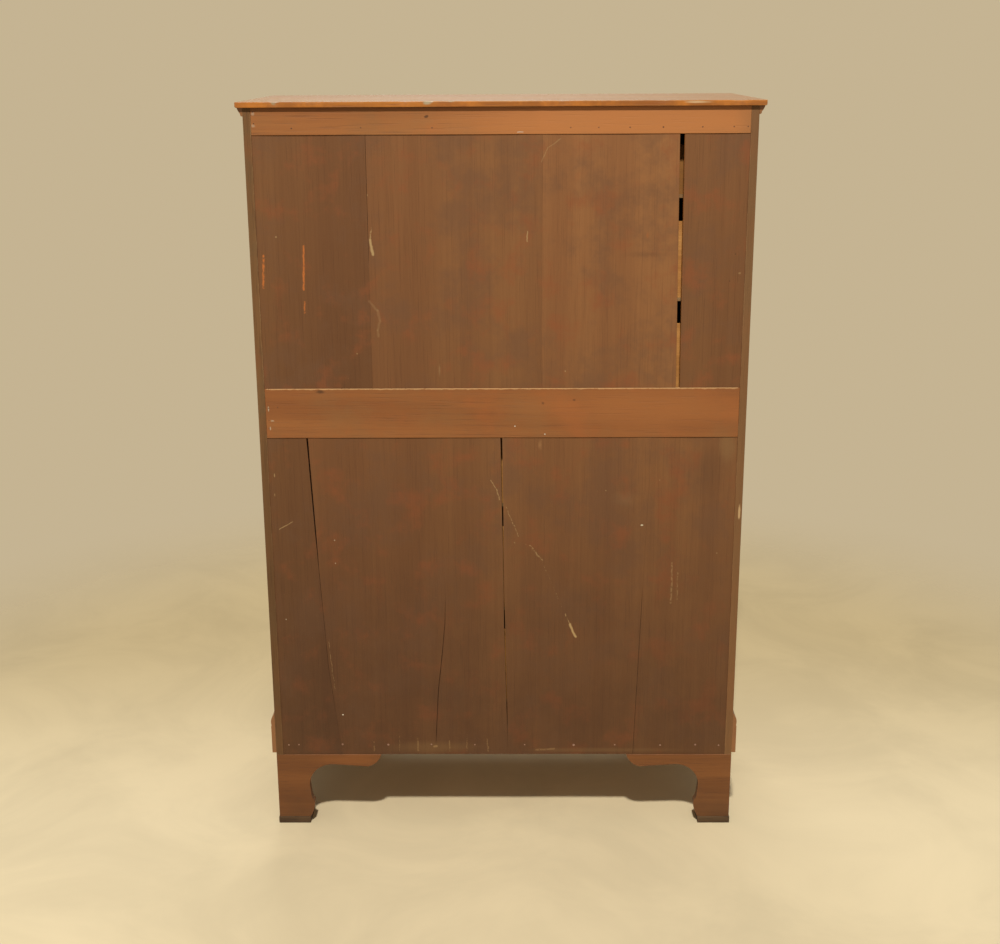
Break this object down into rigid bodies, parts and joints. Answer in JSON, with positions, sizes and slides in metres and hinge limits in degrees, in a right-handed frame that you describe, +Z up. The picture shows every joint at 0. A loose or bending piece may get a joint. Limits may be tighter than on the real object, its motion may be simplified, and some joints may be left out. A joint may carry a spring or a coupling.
{
  "type": "tallboy chest of drawers",
  "caption": "Tall mahogany chest of drawers with bracket feet, moulded top and base, cock-beaded drawers with swinging brass bails and a boarded back.",
  "frame": {"origin": "on the floor under the middle of the chest", "axes": "facing the drawers, +X runs to the right, +Y to the back and +Z up"},
  "size_m": [1.006, 0.472, 1.5285],
  "materials": {
    "polished_mahogany": "worn polish",
    "figured_mahogany": "polished",
    "back_boards": "unpolished, aged",
    "back_rails": "unpolished, aged",
    "pine": "unpolished",
    "oak": "unpolished",
    "worn_pads": "unpolished, dirty",
    "brass": "lacquered, slightly dulled"
  },
  "bodies": {
    "carcase": {"left_side": "polished_mahogany", "right_side": "polished_mahogany", "top_board": "polished_mahogany", "cornice_moulding": "polished_mahogany", "sub_top": "pine", "front_rails": "polished_mahogany", "centre_post": "polished_mahogany", "bottom_board": "pine", "base_moulding": "polished_mahogany", "drawer_runners": "pine", "drawer_stops": "pine", "top_back_rail": "back_rails", "middle_back_rail": "back_rails", "upper_back_board_1": "back_boards", "upper_back_board_2": "back_boards", "upper_back_board_3": "back_boards", "upper_back_board_4": "back_boards", "lower_back_board_1": "back_boards", "lower_back_board_2": "back_boards", "lower_back_board_3": "back_boards", "lower_back_board_4": "back_boards", "front_left_foot": "polished_mahogany", "front_right_foot": "polished_mahogany", "back_left_foot": "polished_mahogany", "back_right_foot": "polished_mahogany", "foot_pads": "worn_pads"},
    "short_left_drawer": {"short_left_front": "figured_mahogany", "short_left_box": "oak", "short_left_brasses": "brass"},
    "short_left_bail": {"short_left_bail": "brass"},
    "short_right_drawer": {"short_right_front": "figured_mahogany", "short_right_box": "oak", "short_right_brasses": "brass"},
    "short_right_bail": {"short_right_bail": "brass"},
    "long_1_drawer": {"long_1_front": "figured_mahogany", "long_1_box": "oak", "long_1_brasses": "brass"},
    "long_1_left_bail": {"long_1_left_bail": "brass"},
    "long_1_right_bail": {"long_1_right_bail": "brass"},
    "long_2_drawer": {"long_2_front": "figured_mahogany", "long_2_box": "oak", "long_2_brasses": "brass"},
    "long_2_left_bail": {"long_2_left_bail": "brass"},
    "long_2_right_bail": {"long_2_right_bail": "brass"},
    "long_3_drawer": {"long_3_front": "figured_mahogany", "long_3_box": "oak", "long_3_brasses": "brass"},
    "long_3_left_bail": {"long_3_left_bail": "brass"},
    "long_3_right_bail": {"long_3_right_bail": "brass"},
    "long_4_drawer": {"long_4_front": "figured_mahogany", "long_4_box": "oak", "long_4_brasses": "brass"},
    "long_4_left_bail": {"long_4_left_bail": "brass"},
    "long_4_right_bail": {"long_4_right_bail": "brass"},
    "long_5_drawer": {"long_5_front": "figured_mahogany", "long_5_box": "oak", "long_5_brasses": "brass"},
    "long_5_left_bail": {"long_5_left_bail": "brass"},
    "long_5_right_bail": {"long_5_right_bail": "brass"}
  },
  "joints": [
    {"name": "short_left_slide", "type": "slide", "parent": "carcase", "child": "short_left_drawer", "axis": [0, -1, 0], "range_m": [0, 0.31]},
    {"name": "short_left_bail_hinge", "type": "hinge", "parent": "short_left_drawer", "child": "short_left_bail", "pos_m": [-0.2405, -0.228, 1.414], "axis": [-1, 0, 0], "range_deg": [-12, 150]},
    {"name": "short_right_slide", "type": "slide", "parent": "carcase", "child": "short_right_drawer", "axis": [0, -1, 0], "range_m": [0, 0.31]},
    {"name": "short_right_bail_hinge", "type": "hinge", "parent": "short_right_drawer", "child": "short_right_bail", "pos_m": [0.2405, -0.228, 1.414], "axis": [-1, 0, 0], "range_deg": [-12, 150]},
    {"name": "long_1_slide", "type": "slide", "parent": "carcase", "child": "long_1_drawer", "axis": [0, -1, 0], "range_m": [0, 0.31]},
    {"name": "long_1_left_bail_hinge", "type": "hinge", "parent": "long_1_drawer", "child": "long_1_left_bail", "pos_m": [-0.282, -0.228, 1.239], "axis": [-1, 0, 0], "range_deg": [-12, 150]},
    {"name": "long_1_right_bail_hinge", "type": "hinge", "parent": "long_1_drawer", "child": "long_1_right_bail", "pos_m": [0.282, -0.228, 1.239], "axis": [-1, 0, 0], "range_deg": [-12, 150]},
    {"name": "long_2_slide", "type": "slide", "parent": "carcase", "child": "long_2_drawer", "axis": [0, -1, 0], "range_m": [0, 0.31]},
    {"name": "long_2_left_bail_hinge", "type": "hinge", "parent": "long_2_drawer", "child": "long_2_left_bail", "pos_m": [-0.282, -0.228, 1.033], "axis": [-1, 0, 0], "range_deg": [-12, 150]},
    {"name": "long_2_right_bail_hinge", "type": "hinge", "parent": "long_2_drawer", "child": "long_2_right_bail", "pos_m": [0.282, -0.228, 1.033], "axis": [-1, 0, 0], "range_deg": [-12, 150]},
    {"name": "long_3_slide", "type": "slide", "parent": "carcase", "child": "long_3_drawer", "axis": [0, -1, 0], "range_m": [0, 0.31]},
    {"name": "long_3_left_bail_hinge", "type": "hinge", "parent": "long_3_drawer", "child": "long_3_left_bail", "pos_m": [-0.282, -0.228, 0.819], "axis": [-1, 0, 0], "range_deg": [-12, 150]},
    {"name": "long_3_right_bail_hinge", "type": "hinge", "parent": "long_3_drawer", "child": "long_3_right_bail", "pos_m": [0.282, -0.228, 0.819], "axis": [-1, 0, 0], "range_deg": [-12, 150]},
    {"name": "long_4_slide", "type": "slide", "parent": "carcase", "child": "long_4_drawer", "axis": [0, -1, 0], "range_m": [0, 0.31]},
    {"name": "long_4_left_bail_hinge", "type": "hinge", "parent": "long_4_drawer", "child": "long_4_left_bail", "pos_m": [-0.282, -0.228, 0.594], "axis": [-1, 0, 0], "range_deg": [-12, 150]},
    {"name": "long_4_right_bail_hinge", "type": "hinge", "parent": "long_4_drawer", "child": "long_4_right_bail", "pos_m": [0.282, -0.228, 0.594], "axis": [-1, 0, 0], "range_deg": [-12, 150]},
    {"name": "long_5_slide", "type": "slide", "parent": "carcase", "child": "long_5_drawer", "axis": [0, -1, 0], "range_m": [0, 0.31]},
    {"name": "long_5_left_bail_hinge", "type": "hinge", "parent": "long_5_drawer", "child": "long_5_left_bail", "pos_m": [-0.282, -0.228, 0.3725], "axis": [-1, 0, 0], "range_deg": [-12, 150]},
    {"name": "long_5_right_bail_hinge", "type": "hinge", "parent": "long_5_drawer", "child": "long_5_right_bail", "pos_m": [0.282, -0.228, 0.3725], "axis": [-1, 0, 0], "range_deg": [-12, 150]}
  ]
}
